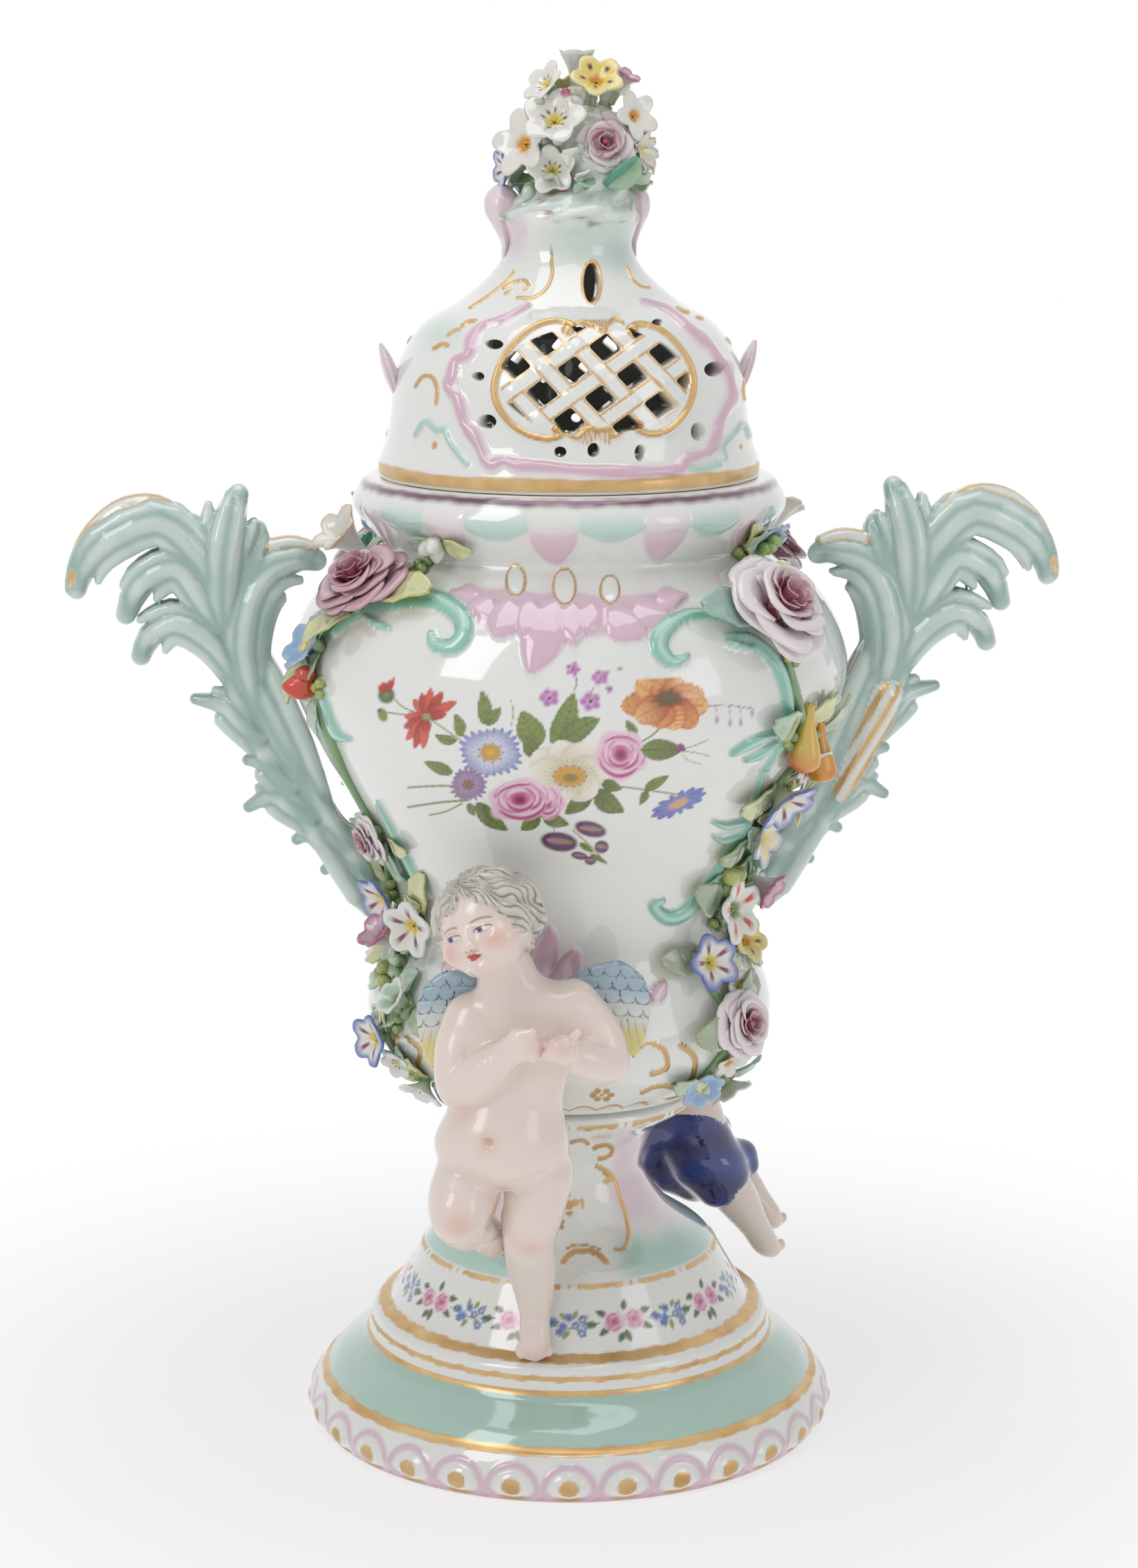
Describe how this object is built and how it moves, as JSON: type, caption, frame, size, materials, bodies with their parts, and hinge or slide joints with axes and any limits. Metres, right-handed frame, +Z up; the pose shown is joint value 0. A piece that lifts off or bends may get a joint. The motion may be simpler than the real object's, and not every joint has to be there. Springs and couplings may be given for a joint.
{
  "type": "potpourri vase",
  "caption": "Covered porcelain potpourri vase: hollow pedestal, baluster body with leaf handles, garlands and putti, and a pierced dome cover that lifts off.",
  "frame": {"origin": "middle of the foot ring, on the table", "axes": "+Z up along the axis of the body; the painted panel and the front putto face -Y"},
  "size_m": [0.3148, 0.2047, 0.4397],
  "materials": {
    "white_porcelain": "glossy glaze with painted and gilt ornament",
    "pink_porcelain": "glossy glaze",
    "sea_green_porcelain": "glossy glaze with gilt lines",
    "leaf_green_porcelain": "glossy glaze",
    "petal_porcelain": "glossy glaze, painted petals",
    "flesh_porcelain": "glossy glaze, painted",
    "wing_porcelain": "glossy glaze, painted feathers",
    "blue_porcelain": "glossy cobalt glaze",
    "steel": "dull steel",
    "cork": "cork packing"
  },
  "bodies": {
    "vase": {"pedestal": "white_porcelain", "vase_body": "white_porcelain", "packing_ring": "cork", "tie_rod": "steel", "upper_washer": "steel", "upper_nut": "steel", "lower_washer": "steel", "lower_nut": "steel", "left_handle": "sea_green_porcelain", "right_handle": "sea_green_porcelain", "front_left_leaves": "leaf_green_porcelain", "front_left_roses": "pink_porcelain", "front_left_blossoms": "petal_porcelain", "front_right_leaves": "leaf_green_porcelain", "front_right_roses": "pink_porcelain", "front_right_blossoms": "petal_porcelain", "back_right_leaves": "leaf_green_porcelain", "back_right_roses": "pink_porcelain", "back_right_blossoms": "petal_porcelain", "back_left_leaves": "leaf_green_porcelain", "back_left_roses": "pink_porcelain", "back_left_blossoms": "petal_porcelain", "front_putto_torso": "flesh_porcelain", "front_putto_head": "flesh_porcelain", "front_putto_right_arm": "flesh_porcelain", "front_putto_left_arm": "flesh_porcelain", "front_putto_right_leg": "flesh_porcelain", "front_putto_left_leg": "flesh_porcelain", "front_putto_right_wing": "wing_porcelain", "front_putto_left_wing": "wing_porcelain", "rear_putto_torso": "flesh_porcelain", "rear_putto_head": "flesh_porcelain", "rear_putto_right_arm": "flesh_porcelain", "rear_putto_left_arm": "flesh_porcelain", "rear_putto_right_leg": "flesh_porcelain", "rear_putto_left_leg": "flesh_porcelain", "rear_putto_right_wing": "wing_porcelain", "rear_putto_left_wing": "wing_porcelain", "rear_putto_drapery": "blue_porcelain"},
    "cover": {"cover": "white_porcelain", "cover_scroll_leaves": "pink_porcelain", "bunch_core": "leaf_green_porcelain", "bunch_rose": "pink_porcelain", "bunch_blossoms": "petal_porcelain", "bunch_bell": "leaf_green_porcelain", "bunch_leaves": "leaf_green_porcelain"}
  },
  "joints": [
    {"name": "cover_lift", "type": "slide", "parent": "vase", "child": "cover", "axis": [0, 0, 1], "range_m": [0, 0.06]}
  ]
}
